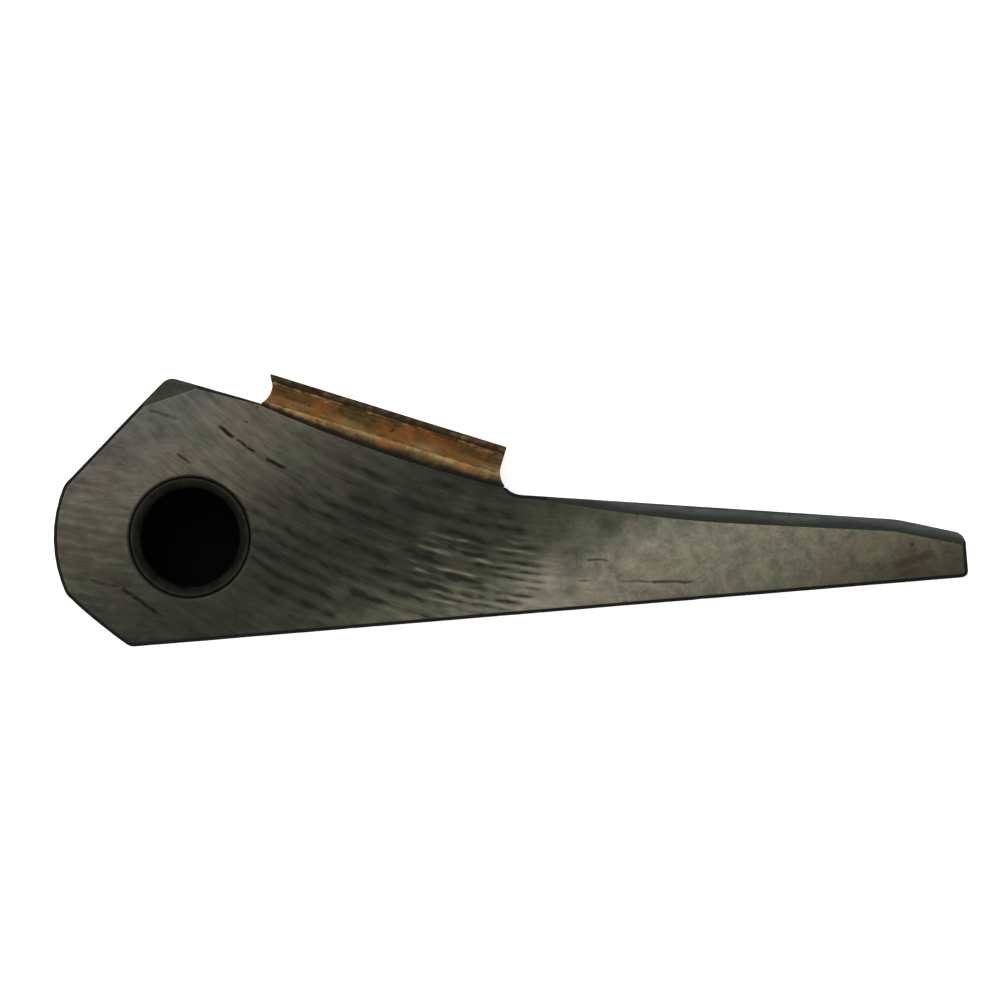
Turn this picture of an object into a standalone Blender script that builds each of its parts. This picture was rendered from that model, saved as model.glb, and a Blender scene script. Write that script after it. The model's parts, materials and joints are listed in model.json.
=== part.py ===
"""Pivoting wedge finger: a bored steel lever with a long tapering tail and a bronze rubbing pad on its back.

Units are millimetres and degrees until a point becomes a Blender coordinate, where MM turns it into metres.
The lever is drawn round its pivot axis, then an empty carries the whole part so that the origin of the row
lies under the middle of its bounding box. +X runs along the flat lower edge towards the tip of the tail,
+Y towards the pad, and +Z along the pivot axis, away from the face that the part lies on.
"""

import math

import bmesh
import bpy
from mathutils import Matrix, Vector

MM = 0.001
WELD = 1e-6  # metres within which points are made one
ARC_STEP = 6.0  # degrees between the points of a rounded corner
SHALLOW_ARC_PIECES = 12
ROUND_SIDES = 64  # sides of everything turned, and of the rods that hollow the pad's sides
SMALL_SIDES = 32  # sides of the straight holes for screws and dowels
FIT_GAP = 0.3  # clearance between two pieces that sit in or on each other
PAST = 5.0  # how far a cutter runs past the face that it opens

# Lever, measured from the pivot axis. An edge's direction is the way that it faces, in degrees from +X
THICKNESS = 24.0
LOWER_EDGE_REACH = 23.0
BACK_EDGE_REACH = 32.7
BACK_EDGE_DIRECTION = 69.2
HEAD_RADIUS = 30.0
UPPER_FLAT_CUT = 2.0  # how far inside the head's radius the flat lies
UPPER_FLAT_DIRECTION = 131.5
LOWER_FLAT_CUT = 3.0
LOWER_FLAT_DIRECTION = 226.0
LOWER_FLAT_CROWN = 0.35  # the flat is very slightly rounded outwards
TAIL_ROOT_REACH = 75.9  # where the tail's root height is measured
TAIL_ROOT_HEIGHT = 25.9
TAIL_REACH = 170.2  # pivot axis to the end of the tail
TAIL_END_HEIGHT = 11.8  # height of the tail at its end, before the tip bevel
TIP_BEVEL_LENGTH = 14.7
TIP_BEVEL_DROP = 8.0  # degrees that the tip bevel is steeper than the top of the tail
HEEL_ROUND = 3.0
PEAK_ROUND = 3.0
HEAD_BLEND = 5.0
TIP_LOWER_ROUND = 1.5
TIP_UPPER_ROUND = 3.0
TIP_BEVEL_BLEND = 20.0
EDGE_CHAMFER = 0.8

# Broad bevels on the lever, the same on both faces: a facet at the peak, and one along the top of the tail
CORNER_FACET_DEPTH = 4.6  # from the sharp corner of the peak
CORNER_FACET_DIRECTION = 104.0
CORNER_FACET_SLOPE = 38.0
TAIL_BEVEL_SLOPE = 45.0
TAIL_BEVEL_ROOT = 0.4  # width where the bevel starts, narrower than the edge chamfer
TAIL_BEVEL_FULL = 3.3
TAIL_BEVEL_TIP = 2.5
TAIL_BEVEL_GROWTH = 45.0  # length over which it widens
TAIL_BEVEL_STEPS = 8

# Pivot bush
BUSH_BORE = 22.0
BUSH_WALL = 2.0
BUSH_LEAD_IN = 1.5
BUSH_RECESS = 0.3  # end of the bush below the face of the lever
BORE_CHAMFER = 0.5

# Rubbing pad, in a frame turned with the pad: "along" runs down the back of the lever, "up" faces out of it
PAD_SLOPE = 22.0
PAD_START = 6.2
PAD_LENGTH = 54.6
PAD_THICKNESS = 6.85  # at its head end
SEAT_SAG = 1.3
COVE_RADIUS = 5.0
START_COVE_DEPTH = 1.35
SIDE_COVE_RADIUS = 3.2
SIDE_COVE_DEPTH = 1.5
SIDE_COVE_CENTRE = 3.5  # from the rubbing face to the middle of the hollow
TOE_ANGLE = 235.0  # where on the end cove the bronze stops and the steel goes on
END_WALL_LEAST = 1.0  # height of the pad's end that the cove always leaves flat

# Screws and dowels that hold the pad
SCREW_FROM_END = 15.3
SCREW_DIAMETER = 6.0
SCREW_LENGTH = 20.0
SCREW_POINT = 0.8  # chamfer on the end of the thread
SCREW_HEAD_DIAMETER = 11.4
SCREW_HEAD_RIM = 0.4  # straight part of the countersunk head
SCREW_SUNK = 0.8  # top of the head below the rubbing face
SOCKET_ACROSS_FLATS = 4.0
SOCKET_DEPTH = 2.2
DOWEL_FROM_END = 5.8
DOWEL_DIAMETER = 5.0
DOWEL_LENGTH = 14.0
DOWEL_IN_PAD = 4.5
DOWEL_CHAMFER = 0.5

COLOURS = {
    "lever_steel": ((0.115, 0.112, 0.092), 0.5, 1.0),
    "bush_steel": ((0.06, 0.062, 0.05), 0.4, 1.0),
    "pad_bronze": ((0.32, 0.16, 0.055), 0.42, 1.0),
    "fastener_steel": ((0.09, 0.09, 0.09), 0.4, 1.0),
}


def clear_scene():
    for obj in list(bpy.data.objects):
        bpy.data.objects.remove(obj, do_unlink=True)


def new_collection(name):
    collection = bpy.data.collections.new(name)
    bpy.context.scene.collection.children.link(collection)
    return collection


def make_material(name):
    colour, roughness, metallic = COLOURS[name]
    material = bpy.data.materials.new(name)
    material.use_nodes = True
    shader = material.node_tree.nodes["Principled BSDF"]
    shader.inputs["Base Color"].default_value = (*colour, 1.0)
    shader.inputs["Roughness"].default_value = roughness
    shader.inputs["Metallic"].default_value = metallic
    return material


# ---- plane geometry, in millimetres ----


def facing(degrees):
    """Unit vector in the drawing plane at that direction."""
    return Vector((math.cos(math.radians(degrees)), math.sin(math.radians(degrees))))


def meet(edge_a, edge_b):
    """Where two edges, each a (distance, direction), cross."""
    (da, aa), (db, ab) = edge_a, edge_b
    na, nb = facing(aa), facing(ab)
    det = na.x * nb.y - na.y * nb.x
    return Vector(((da * nb.y - db * na.y) / det, (na.x * db - nb.x * da) / det))


def edge_through(point, direction):
    """The edge that faces that direction and passes through the point."""
    return (facing(direction).dot(point), direction)


def arc_points(centre, radius, start, end):
    """Points on an arc from one direction to another, both ends included."""
    count = max(2, math.ceil(abs(end - start) / ARC_STEP))
    return [centre + radius * facing(start + (end - start) * i / count) for i in range(count + 1)]


def sagging_arc(start, end, sag):
    """Points on the arc between two points that bulges to the right of the way from start to end."""
    if sag <= 0:
        return [start, end]
    chord = end - start
    along = chord.normalized()
    right = Vector((along.y, -along.x))
    radius = (chord.length / 2) ** 2 / (2 * sag) + sag / 2
    centre = (start + end) / 2 - right * (radius - sag)
    half = math.asin(chord.length / 2 / radius)
    middle = math.atan2(right.y, right.x)
    step = 2 * half / SHALLOW_ARC_PIECES
    turns = [middle - half + step * i for i in range(SHALLOW_ARC_PIECES + 1)]
    points = [centre + radius * Vector((math.cos(t), math.sin(t))) for t in turns]
    if (points[0] - start).length > (points[-1] - start).length:
        points.reverse()
    return points


def rounded(corners):
    """Outline points of a list of (point, radius), with an arc in place of each corner that has a radius."""
    outline = []
    for i, (corner, radius) in enumerate(corners):
        before = (corners[i - 1][0] - corner).normalized()
        after = (corners[(i + 1) % len(corners)][0] - corner).normalized()
        opening = math.acos(max(-1.0, min(1.0, before.dot(after))))
        if radius <= 0 or opening > math.radians(179):
            outline.append(corner)
            continue
        reach = radius / math.tan(opening / 2)
        centre = corner + (before + after).normalized() * (radius / math.sin(opening / 2))
        first = corner + before * reach - centre
        turn = first.angle_signed(corner + after * reach - centre)
        count = max(2, math.ceil(abs(math.degrees(turn)) / ARC_STEP))
        for k in range(count + 1):
            spin = Matrix.Rotation(-turn * k / count, 2)
            outline.append(centre + spin @ first)
    return outline


def from_pad(point):
    """A point of the pad's frame in the lever's frame."""
    return Matrix.Rotation(math.radians(-PAD_SLOPE), 2) @ point


def to_pad(edge):
    """An edge of the lever in the pad's frame."""
    return (edge[0], edge[1] + PAD_SLOPE)


# ---- the edges of the lever, each a distance from the pivot axis and the direction that it faces ----


def back_edge():
    return (BACK_EDGE_REACH, BACK_EDGE_DIRECTION)


def lower_edge():
    return (LOWER_EDGE_REACH, 270.0)


def upper_flat():
    return (HEAD_RADIUS - UPPER_FLAT_CUT, UPPER_FLAT_DIRECTION)


def lower_flat():
    return (HEAD_RADIUS - LOWER_FLAT_CUT, LOWER_FLAT_DIRECTION)


def tail_top():
    fall = (TAIL_ROOT_HEIGHT - TAIL_END_HEIGHT) / (TAIL_REACH - TAIL_ROOT_REACH)
    root = Vector((TAIL_ROOT_REACH, TAIL_ROOT_HEIGHT - LOWER_EDGE_REACH))
    return edge_through(root, 90 - math.degrees(math.atan(fall)))


def tail_end():
    return (TAIL_REACH, 0.0)


def tip_bevel_start():
    return meet(tail_top(), (TAIL_REACH - TIP_BEVEL_LENGTH, 0.0))


def tip_bevel():
    return edge_through(tip_bevel_start(), tail_top()[1] - TIP_BEVEL_DROP)


# ---- the curves that the lever and the pad share, in the pad's frame ----


def pad_heel():
    """Where the pad's underside starts, on the back edge of the head."""
    return meet(to_pad(back_edge()), (PAD_START, 0.0))


def pad_face():
    """Height of the rubbing face, from the pivot axis."""
    return pad_heel().y + PAD_THICKNESS


def cove_radius():
    """The radius of the cove between pad and tail, limited by the height of the pad's end."""
    distance, direction = to_pad(tail_top())
    across, up = facing(direction)
    room = (pad_face() - END_WALL_LEAST) * up + (PAD_START + PAD_LENGTH) * across - distance
    return min(COVE_RADIUS, room / (1 - across))


def pad_curves():
    """The heel and the toe of the seat, and the cove between pad and tail."""
    end, radius = PAD_START + PAD_LENGTH, cove_radius()
    distance, direction = to_pad(tail_top())
    cove = meet((distance + radius, direction), (end + radius, 0.0))
    return {
        "heel": pad_heel(),
        "toe": cove + radius * facing(TOE_ANGLE),
        "end": end,
        "radius": radius,
        "cove": cove,
        "tail_root": cove + radius * facing(direction + 180),
    }


def seat_points(curves, gap):
    """The seat arc from the heel of the pad to its toe, sunk by a gap."""
    down = Vector((0.0, -gap))
    return sagging_arc(curves["heel"] + down, curves["toe"] + down, SEAT_SAG)


def lever_outline():
    """The lever's side profile, counter-clockwise, worked out from its edges."""
    curves = pad_curves()
    corners = [
        (meet(lower_edge(), lower_flat()), HEEL_ROUND),
        (meet(lower_edge(), tail_end()), TIP_LOWER_ROUND),
        (meet(tail_end(), tip_bevel()), TIP_UPPER_ROUND),
        (tip_bevel_start(), TIP_BEVEL_BLEND),
    ]
    tail_side = to_pad(tail_top())[1] + 180
    cove_run = arc_points(curves["cove"], curves["radius"], tail_side, TOE_ANGLE)
    seat = seat_points(curves, FIT_GAP)
    step = curves["heel"] - Vector((FIT_GAP, 0.0))
    corners += [(from_pad(p), 0.0) for p in cove_run[:-1] + seat[::-1] + [step]]
    corners.append((meet(back_edge(), upper_flat()), PEAK_ROUND))
    start = UPPER_FLAT_DIRECTION + math.degrees(math.acos(upper_flat()[0] / HEAD_RADIUS))
    end = LOWER_FLAT_DIRECTION - math.degrees(math.acos(lower_flat()[0] / HEAD_RADIUS))
    head = arc_points(Vector((0.0, 0.0)), HEAD_RADIUS, start, end)
    blends = [HEAD_BLEND] + [0.0] * (len(head) - 2) + [HEAD_BLEND]
    corners += zip(head, blends)
    crown = sagging_arc(head[-1], corners[0][0], LOWER_FLAT_CROWN)
    corners += [(p, 0.0) for p in crown[2:-2]]  # the arc's ends are left to the rounded corners
    return rounded(corners)


def on_seat(point):
    """Whether a point of the lever's rim lies on the pad's seat."""
    curves = pad_curves()
    turned = Matrix.Rotation(math.radians(PAD_SLOPE), 2) @ Vector((point.x, point.y))
    beside = curves["heel"].x - FIT_GAP < turned.x < curves["toe"].x
    lowest = min(p.y for p in seat_points(curves, FIT_GAP))
    return beside and turned.y > lowest - FIT_GAP


def pad_outline():
    """The pad's side profile in its own frame, counter-clockwise."""
    curves = pad_curves()
    end, cove, heel = curves["end"], curves["cove"], curves["heel"]
    outline = seat_points(curves, 0.0)
    outline += arc_points(cove, curves["radius"], TOE_ANGLE, 180.0)[1:]
    outline.append(Vector((end, pad_face())))
    lip = Vector((PAD_START, pad_face()))
    half_rise = PAD_THICKNESS / 2
    radius = half_rise**2 / (2 * START_COVE_DEPTH) + START_COVE_DEPTH / 2
    centre = Vector((PAD_START + START_COVE_DEPTH - radius, heel.y + half_rise))
    half_turn = math.degrees(math.asin(half_rise / radius))
    start_cove = arc_points(centre, radius, half_turn, -half_turn)
    return outline + [lip] + start_cove[1:-1]


def row_offset():
    """From the pivot axis to the row origin, which is under the middle of the bounding box."""
    lever = lever_outline()
    pad = [from_pad(p) for p in pad_outline()]
    low = Vector((min(p.x for p in lever + pad), min(p.y for p in lever + pad)))
    high = Vector((max(p.x for p in lever + pad), max(p.y for p in lever + pad)))
    return -(low + high) / 2


# ---- building blocks ----


def link_mesh(name, mesh, collection, parent, material=None):
    obj = bpy.data.objects.new(name, mesh)
    collection.objects.link(obj)
    obj.parent = parent
    if material:
        mesh.materials.clear()
        mesh.materials.append(material)
    return obj


def evaluated_mesh(name, data, make_modifier=None):
    """The mesh that a curve, or a mesh with a modifier on it, comes out as. Its helper object is removed."""
    guide = bpy.data.objects.new(name + "_guide", data)
    bpy.context.scene.collection.objects.link(guide)
    if make_modifier:
        make_modifier(guide)
    bpy.context.view_layer.update()
    mesh = bpy.data.meshes.new_from_object(guide.evaluated_get(bpy.context.evaluated_depsgraph_get()))
    bpy.data.objects.remove(guide, do_unlink=True)
    mesh.name = name
    return mesh


def plate_mesh(name, outline, low, high):
    """A flat plate of that outline between two heights, made as a filled 2D curve and welded to a mesh."""
    curve = bpy.data.curves.new(name, "CURVE")
    curve.dimensions = "2D"
    curve.fill_mode = "BOTH"
    curve.extrude = (high - low) / 2 * MM
    spline = curve.splines.new("POLY")
    spline.points.add(len(outline) - 1)
    for point, place in zip(spline.points, outline):
        point.co = (place.x * MM, place.y * MM, 0.0, 1.0)
    spline.use_cyclic_u = True
    mesh = evaluated_mesh(name, curve)
    solid = bmesh.new()
    solid.from_mesh(mesh)
    bmesh.ops.remove_doubles(solid, verts=solid.verts, dist=WELD)
    bmesh.ops.dissolve_limit(solid, angle_limit=math.radians(0.5), verts=solid.verts, edges=solid.edges)
    bmesh.ops.recalc_face_normals(solid, faces=solid.faces)
    bmesh.ops.translate(solid, vec=(0.0, 0.0, (low + high) / 2 * MM), verts=solid.verts)
    solid.to_mesh(mesh)
    solid.free()
    return mesh


def chamfer_rim(mesh, width, stays_sharp):
    """Chamfers the edges between a plate's flat faces and its rim, except those that stay sharp."""
    solid = bmesh.new()
    solid.from_mesh(mesh)
    flat = [f for f in solid.faces if abs(f.normal.z) > 0.99]
    rim = [e for f in flat for e in f.edges if any(abs(g.normal.z) < 0.5 for g in e.link_faces)]
    rim = [e for e in rim if not stays_sharp((e.verts[0].co + e.verts[1].co) / 2 / MM)]
    bmesh.ops.bevel(
        solid, geom=list(set(rim)), offset=width * MM, segments=1, affect="EDGES", profile=0.5, material=-1
    )
    solid.to_mesh(mesh)
    solid.free()


def turned_mesh(name, profile):
    """A solid turned about Z from a list of (radius, height) that runs down its outer side."""
    edges = [(i, i + 1) for i in range(len(profile) - 1)]
    if profile[0][0] > 0:
        edges.append((len(profile) - 1, 0))  # a ring has a closed profile
    outline = bpy.data.meshes.new(name + "_profile")
    outline.from_pydata([(radius * MM, 0.0, height * MM) for radius, height in profile], edges, [])

    def turn(guide):
        screw = guide.modifiers.new("turn", "SCREW")
        screw.steps = screw.render_steps = ROUND_SIDES
        screw.use_merge_vertices = True
        screw.merge_threshold = WELD

    mesh = evaluated_mesh(name, outline, turn)
    mesh.shade_smooth()
    mesh.set_sharp_from_angle(angle=math.radians(30))
    return mesh


def rod_mesh(name, radius, low, high, sides):
    """A rod about Z between two heights, or a prism when it has few sides."""
    solid = bmesh.new()
    length = (high - low) * MM
    bmesh.ops.create_cone(
        solid, cap_ends=True, segments=sides, radius1=radius * MM, radius2=radius * MM, depth=length
    )
    bmesh.ops.translate(solid, vec=(0.0, 0.0, (low + high) / 2 * MM), verts=solid.verts)
    mesh = bpy.data.meshes.new(name)
    solid.to_mesh(mesh)
    solid.free()
    return mesh


def hide_cutter(obj):
    obj.hide_render = True
    obj.display_type = "WIRE"
    return obj


def cut(obj, *cutters):
    for cutter in cutters:
        modifier = obj.modifiers.new("cut_" + cutter.name, "BOOLEAN")
        modifier.operation = "DIFFERENCE"
        modifier.object = cutter


def place_in_pad(obj, along, pad_frame):
    """Stands an object on the pad's centre line, with its Z axis facing out of the rubbing face."""
    obj.parent = pad_frame
    obj.location = (along * MM, 0.0, THICKNESS / 2 * MM)
    obj.rotation_euler = (math.radians(-90), 0.0, 0.0)


# ---- the lever and its cutters ----


def loft_mesh(name, sections):
    """A closed solid through a row of loops that all have the same number of points."""
    solid = bmesh.new()
    loops = [[solid.verts.new(point * MM) for point in section] for section in sections]
    for first, second in zip(loops, loops[1:]):
        for i in range(len(first)):
            solid.faces.new((first[i - 1], first[i], second[i], second[i - 1]))
    solid.faces.new(loops[0])
    solid.faces.new(loops[-1])
    bmesh.ops.recalc_face_normals(solid, faces=solid.faces)
    mesh = bpy.data.meshes.new(name)
    solid.to_mesh(mesh)
    solid.free()
    return mesh


def bevel_section(place, outward, width, slope, side):
    """The triangle that a bevel of that width removes from an edge, grown past both faces that it opens."""
    face = THICKNESS if side > 0 else 0.0
    fall = math.tan(math.radians(slope))
    inner = place - outward * (width + PAST)
    outer = place + outward * PAST
    above = face + side * PAST * fall
    below = face - side * (width + PAST) * fall
    return [Vector((*inner, above)), Vector((*outer, below)), Vector((*outer, above))]


def tail_bevel_stations():
    """(place, outward direction, width) along the top of the tail, from its root to past its tip."""
    root, turn = from_pad(pad_curves()["tail_root"]), tip_bevel_start()
    up, tip_up = facing(tail_top()[1]), facing(tip_bevel()[1])
    length = (turn - root).length
    grown = min(TAIL_BEVEL_GROWTH, length)
    along = (turn - root) / length
    stations = []
    for i in range(TAIL_BEVEL_STEPS + 1):
        share = math.sin(math.pi / 2 * i / TAIL_BEVEL_STEPS)
        width = TAIL_BEVEL_ROOT + (TAIL_BEVEL_FULL - TAIL_BEVEL_ROOT) * share
        stations.append((root + along * grown * i / TAIL_BEVEL_STEPS, up, width))
    if length > grown:
        share = (length - grown) / (length - grown + TIP_BEVEL_LENGTH)
        width = TAIL_BEVEL_FULL + (TAIL_BEVEL_TIP - TAIL_BEVEL_FULL) * share
        stations.append((turn, (up + tip_up).normalized(), width))
    past_tip = turn + facing(tip_bevel()[1] - 90) * (TIP_BEVEL_LENGTH + 2 * PAST)
    stations.append((past_tip, tip_up, TAIL_BEVEL_TIP))
    return stations


def lever_bevel_cutters(collection, parent):
    """The tail's bevel and the facet at the peak, once for each face of the lever."""
    cutters = []
    peak = meet(back_edge(), upper_flat())
    facet_out, facet_along = facing(CORNER_FACET_DIRECTION), facing(CORNER_FACET_DIRECTION - 90)
    facet_middle = peak - facet_out * CORNER_FACET_DEPTH
    facet_ends = [facet_middle + facet_along * reach for reach in (-HEAD_RADIUS, HEAD_RADIUS)]
    for side, label in ((1, "upper"), (-1, "lower")):
        tail = [bevel_section(*station, TAIL_BEVEL_SLOPE, side) for station in tail_bevel_stations()]
        facet = [bevel_section(end, facet_out, 0.0, CORNER_FACET_SLOPE, side) for end in facet_ends]
        for name, sections in (("tail_bevel_" + label, tail), ("corner_facet_" + label, facet)):
            cutter = link_mesh(name, loft_mesh(name, sections), collection, parent)
            cutters.append(hide_cutter(cutter))
    return cutters


def bore_cutter(collection, parent):
    radius = BUSH_BORE / 2 + BUSH_WALL + FIT_GAP
    wide = radius + BORE_CHAMFER
    profile = [
        (0.0, THICKNESS + PAST),
        (wide + PAST, THICKNESS + PAST),
        (radius, THICKNESS - BORE_CHAMFER),
        (radius, BORE_CHAMFER),
        (wide + PAST, -PAST),
        (0.0, -PAST),
    ]
    mesh = turned_mesh("bore_cutter", profile)
    return hide_cutter(link_mesh("bore_cutter", mesh, collection, parent))


def make_lever(materials, parts, cutters, pivot, pad_frame):
    mesh = plate_mesh("lever_body", lever_outline(), 0.0, THICKNESS)
    chamfer_rim(mesh, EDGE_CHAMFER, on_seat)
    lever = link_mesh("lever_body", mesh, parts, pivot, materials["lever_steel"])
    cut(lever, *lever_bevel_cutters(cutters, pivot), bore_cutter(cutters, pivot))
    for name, along in screw_places():
        hole = hole_cutter(name + "_tapping", SCREW_DIAMETER, screw_tip() - FIT_GAP, pad_face(), cutters)
        place_in_pad(hole, along, pad_frame)
        cut(lever, hole)
    for name, along in dowel_places():
        low = dowel_span(along)[0] - FIT_GAP
        hole = hole_cutter(name + "_socket_lever", DOWEL_DIAMETER, low, pad_face(), cutters)
        place_in_pad(hole, along, pad_frame)
        cut(lever, hole)
    return lever


def make_bush(materials, parts, pivot):
    inner, outer = BUSH_BORE / 2, BUSH_BORE / 2 + BUSH_WALL
    low, high = BUSH_RECESS, THICKNESS - BUSH_RECESS
    profile = [
        (inner + BUSH_LEAD_IN, high),
        (outer, high),
        (outer, low),
        (inner + BUSH_LEAD_IN, low),
        (inner, low + BUSH_LEAD_IN),
        (inner, high - BUSH_LEAD_IN),
    ]
    mesh = turned_mesh("pivot_bush", profile)
    return link_mesh("pivot_bush", mesh, parts, pivot, materials["bush_steel"])


# ---- the pad and what holds it ----


def near_each_end(stem, inset):
    """The names and places of a pair of screws or dowels, that far in from the ends of the pad."""
    return [(stem + "_head_end", PAD_START + inset), (stem + "_tail_end", PAD_START + PAD_LENGTH - inset)]


def screw_places():
    return near_each_end("pad_screw", SCREW_FROM_END)


def dowel_places():
    return near_each_end("pad_dowel", DOWEL_FROM_END)


def seat_height(along):
    """Height of the pad's underside at a place along the pad."""
    points = seat_points(pad_curves(), 0.0)
    for a, b in zip(points, points[1:]):
        if a.x <= along <= b.x:
            return a.y + (b.y - a.y) * (along - a.x) / (b.x - a.x)
    return points[-1].y


def screw_tip():
    return pad_face() - SCREW_SUNK - SCREW_LENGTH


def dowel_span(along):
    high = seat_height(along) + DOWEL_IN_PAD
    return high - DOWEL_LENGTH, high


def hole_cutter(name, diameter, low, high, collection):
    """A round hole for a pin of that diameter, between two heights of the pad's frame."""
    mesh = rod_mesh(name, diameter / 2 + FIT_GAP, low, high, SMALL_SIDES)
    return hide_cutter(link_mesh(name, mesh, collection, None))


def countersink_cutter(name, collection):
    """The pad's hole for a screw: a 90 degree countersink over a clearance hole."""
    shank = SCREW_DIAMETER / 2 + FIT_GAP
    head = SCREW_HEAD_DIAMETER / 2 + FIT_GAP
    cone_top = pad_face() - SCREW_SUNK - SCREW_HEAD_RIM - FIT_GAP
    profile = [
        (0.0, pad_face() + PAST),
        (head, pad_face() + PAST),
        (head, cone_top),
        (shank, cone_top - (head - shank)),
        (shank, seat_lowest() - PAST),
        (0.0, seat_lowest() - PAST),
    ]
    return hide_cutter(link_mesh(name, turned_mesh(name, profile), collection, None))


def seat_lowest():
    return min(p.y for p in seat_points(pad_curves(), 0.0))


def side_cove_cutter(name, side, collection, pad_frame):
    """A long rod that hollows one side of the pad along its whole length."""
    mesh = rod_mesh(name, SIDE_COVE_RADIUS, 0.0, pad_curves()["toe"].x + PAST, ROUND_SIDES)
    cutter = link_mesh(name, mesh, collection, pad_frame)
    reach = THICKNESS / 2 + SIDE_COVE_RADIUS - SIDE_COVE_DEPTH
    height = pad_face() - SIDE_COVE_CENTRE
    cutter.location = (0.0, height * MM, (THICKNESS / 2 + side * reach) * MM)
    cutter.rotation_euler = (0.0, math.radians(90), 0.0)
    return hide_cutter(cutter)


def make_pad(materials, parts, cutters, pad_frame):
    mesh = plate_mesh("rub_pad", pad_outline(), 0.0, THICKNESS)
    pad = link_mesh("rub_pad", mesh, parts, pad_frame, materials["pad_bronze"])
    for side, label in ((1, "upper"), (-1, "lower")):
        cut(pad, side_cove_cutter("side_cove_" + label, side, cutters, pad_frame))
    for name, along in screw_places():
        hole = countersink_cutter(name + "_countersink", cutters)
        place_in_pad(hole, along, pad_frame)
        cut(pad, hole)
    for name, along in dowel_places():
        low, high = seat_lowest() - PAST, dowel_span(along)[1] + FIT_GAP
        hole = hole_cutter(name + "_socket_pad", DOWEL_DIAMETER, low, high, cutters)
        place_in_pad(hole, along, pad_frame)
        cut(pad, hole)
    return pad


def socket_cutter(name, collection):
    """The hexagon socket of a screw."""
    across_corners = SOCKET_ACROSS_FLATS / math.cos(math.radians(30))
    top = pad_face() - SCREW_SUNK
    mesh = rod_mesh(name, across_corners / 2, top - SOCKET_DEPTH, top + PAST, 6)
    return hide_cutter(link_mesh(name, mesh, collection, None))


def make_screws(materials, parts, cutters, pad_frame):
    head, shank = SCREW_HEAD_DIAMETER / 2, SCREW_DIAMETER / 2
    top, tip = pad_face() - SCREW_SUNK, screw_tip()
    cone_top = top - SCREW_HEAD_RIM
    profile = [
        (0.0, top),
        (head, top),
        (head, cone_top),
        (shank, cone_top - (head - shank)),
        (shank, tip + SCREW_POINT),
        (shank - SCREW_POINT, tip),
        (0.0, tip),
    ]
    for name, along in screw_places():
        mesh = turned_mesh(name, profile)
        screw = link_mesh(name, mesh, parts, None, materials["fastener_steel"])
        place_in_pad(screw, along, pad_frame)
        socket = socket_cutter(name + "_socket", cutters)
        place_in_pad(socket, along, pad_frame)
        cut(screw, socket)


def make_dowels(materials, parts, pad_frame):
    radius, chamfer = DOWEL_DIAMETER / 2, DOWEL_CHAMFER
    for name, along in dowel_places():
        low, high = dowel_span(along)
        profile = [
            (0.0, high),
            (radius - chamfer, high),
            (radius, high - chamfer),
            (radius, low + chamfer),
            (radius - chamfer, low),
            (0.0, low),
        ]
        mesh = turned_mesh(name, profile)
        dowel = link_mesh(name, mesh, parts, None, materials["fastener_steel"])
        place_in_pad(dowel, along, pad_frame)


def make_frames():
    """Empties on the pivot axis: one for the lever, and one turned with the pad."""
    offset = row_offset()
    pivot = bpy.data.objects.new("pivot_axis", None)
    pivot.location = (offset.x * MM, offset.y * MM, 0.0)
    pad_frame = bpy.data.objects.new("pad_frame", None)
    pad_frame.parent = pivot
    pad_frame.rotation_euler = (0.0, 0.0, math.radians(-PAD_SLOPE))
    for empty in (pivot, pad_frame):
        bpy.context.scene.collection.objects.link(empty)
    return pivot, pad_frame


def main():
    clear_scene()
    parts = new_collection("wedge_finger")
    cutters = new_collection("cutters")
    materials = {name: make_material(name) for name in COLOURS}
    pivot, pad_frame = make_frames()
    make_lever(materials, parts, cutters, pivot, pad_frame)
    make_bush(materials, parts, pivot)
    make_pad(materials, parts, cutters, pad_frame)
    make_screws(materials, parts, cutters, pad_frame)
    make_dowels(materials, parts, pad_frame)


main()
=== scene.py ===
import json
import math
import bmesh
import bpy
from mathutils import Matrix, Vector, kdtree, noise


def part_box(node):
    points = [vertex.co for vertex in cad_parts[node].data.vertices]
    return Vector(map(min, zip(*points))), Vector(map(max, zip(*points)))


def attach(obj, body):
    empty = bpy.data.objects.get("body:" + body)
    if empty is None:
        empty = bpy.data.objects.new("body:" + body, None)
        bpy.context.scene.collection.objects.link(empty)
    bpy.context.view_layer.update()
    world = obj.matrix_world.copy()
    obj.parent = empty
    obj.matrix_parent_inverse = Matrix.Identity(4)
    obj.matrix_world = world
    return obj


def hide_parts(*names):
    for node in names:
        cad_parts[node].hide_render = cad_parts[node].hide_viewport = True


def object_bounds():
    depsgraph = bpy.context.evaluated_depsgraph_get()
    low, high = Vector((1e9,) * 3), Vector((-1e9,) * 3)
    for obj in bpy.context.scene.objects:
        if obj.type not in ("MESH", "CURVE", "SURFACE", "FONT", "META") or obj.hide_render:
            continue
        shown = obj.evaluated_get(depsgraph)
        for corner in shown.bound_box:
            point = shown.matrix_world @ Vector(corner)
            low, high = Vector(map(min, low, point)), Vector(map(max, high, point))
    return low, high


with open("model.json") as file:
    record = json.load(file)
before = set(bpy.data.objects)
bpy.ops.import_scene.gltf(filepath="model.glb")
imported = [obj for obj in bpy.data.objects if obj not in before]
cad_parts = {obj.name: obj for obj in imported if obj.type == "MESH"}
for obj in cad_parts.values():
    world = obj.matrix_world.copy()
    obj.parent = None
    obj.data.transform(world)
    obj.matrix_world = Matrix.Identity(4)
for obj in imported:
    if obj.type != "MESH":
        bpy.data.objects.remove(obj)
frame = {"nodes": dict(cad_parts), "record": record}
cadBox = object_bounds()
scene = bpy.context.scene
mm = 0.001
xAxis, yAxis, zAxis = Vector((1, 0, 0)), Vector((0, 1, 0)), Vector((0, 0, 1))
hardShadeAbove = math.radians(38)         # edges sharper than this are shaded hard
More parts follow.
